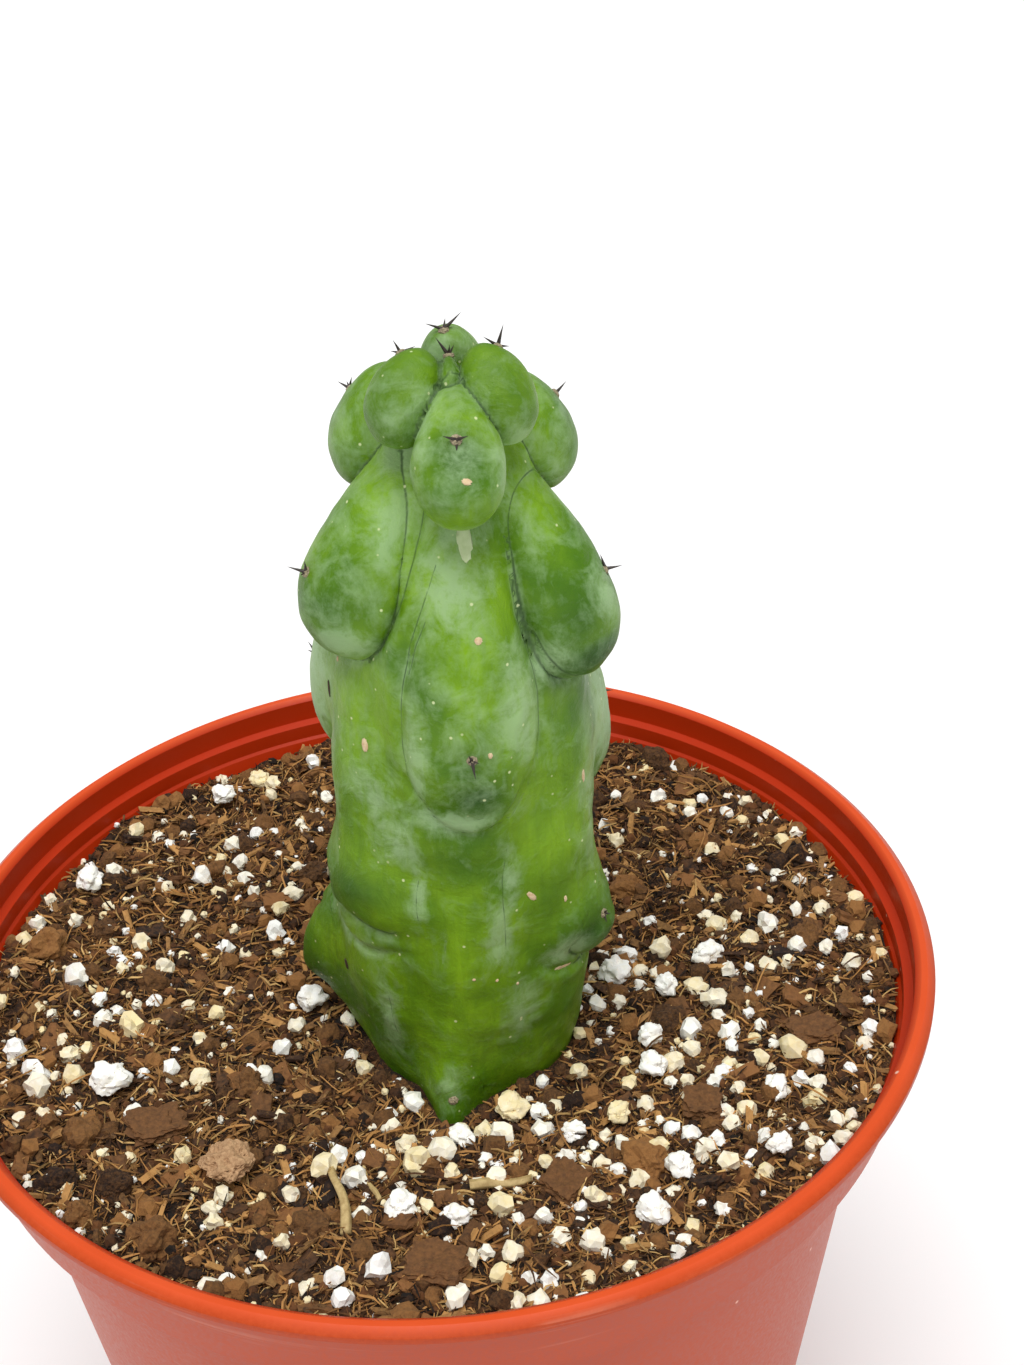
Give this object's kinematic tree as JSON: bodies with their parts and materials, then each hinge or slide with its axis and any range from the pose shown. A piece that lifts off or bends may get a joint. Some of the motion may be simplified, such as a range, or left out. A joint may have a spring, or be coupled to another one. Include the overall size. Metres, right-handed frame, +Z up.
{
  "type": "potted monstrose blue myrtle cactus",
  "caption": "Lumpy columnar cactus with swollen breast-shaped ribs and short dark spines, standing in gritty potting mix in a round tapered plastic nursery pot.",
  "frame": {"origin": "centre of the pot's flat base, where it rests", "axes": "+Z up along the pot and the stem, -Y is the front, where the face-like lump looks, +X to the right"},
  "size_m": [0.152, 0.152, 0.2448],
  "materials": {
    "pot_plastic": "terracotta-orange thin moulded plastic, satin",
    "potting_mix": "damp brown peat, coir and bark mix, rough",
    "cactus_skin": "waxy green skin with a pale blue-grey bloom",
    "spines": "black-brown horn with a small felt cushion",
    "perlite": "white to cream expanded volcanic glass, porous and matte",
    "bark": "dark red-brown bark chip, rough",
    "dry_wood": "straw-coloured dry stick",
    "clay": "tan clay clod, crumbly"
  },
  "bodies": {
    "root": {"bark_chip_1": "bark", "bark_chip_2": "bark", "bark_chip_3": "bark", "bark_chip_4": "bark", "bark_chip_5": "bark", "cactus_stem": "cactus_skin", "clay_clod": "clay", "nursery_pot": "pot_plastic", "perlite_grain_01": "perlite", "perlite_grain_02": "perlite", "perlite_grain_03": "perlite", "perlite_grain_04": "perlite", "perlite_grain_05": "perlite", "perlite_grain_06": "perlite", "perlite_grain_07": "perlite", "perlite_grain_08": "perlite", "perlite_grain_09": "perlite", "perlite_grain_10": "perlite", "perlite_grain_11": "perlite", "perlite_grain_12": "perlite", "perlite_grain_13": "perlite", "perlite_grain_14": "perlite", "perlite_grain_15": "perlite", "perlite_grain_16": "perlite", "perlite_grain_17": "perlite", "perlite_grain_18": "perlite", "perlite_grain_19": "perlite", "perlite_grain_20": "perlite", "potting_mix": "potting_mix", "spines_belly": "spines", "spines_breast_left": "spines", "spines_breast_right": "spines", "spines_crown_back": "spines", "spines_crown_left": "spines", "spines_crown_nub": "spines", "spines_crown_right": "spines", "spines_face": "spines", "spines_hip_left": "spines", "spines_hip_right": "spines", "spines_low_back": "spines", "spines_low_left": "spines", "spines_low_right": "spines", "spines_shoulder_left": "spines", "spines_shoulder_right": "spines", "spines_waist_back": "spines", "spines_waist_left": "spines", "spines_waist_right": "spines", "straw_stick": "dry_wood", "thin_twig": "dry_wood", "wood_sliver": "dry_wood"}
  },
  "joints": []
}
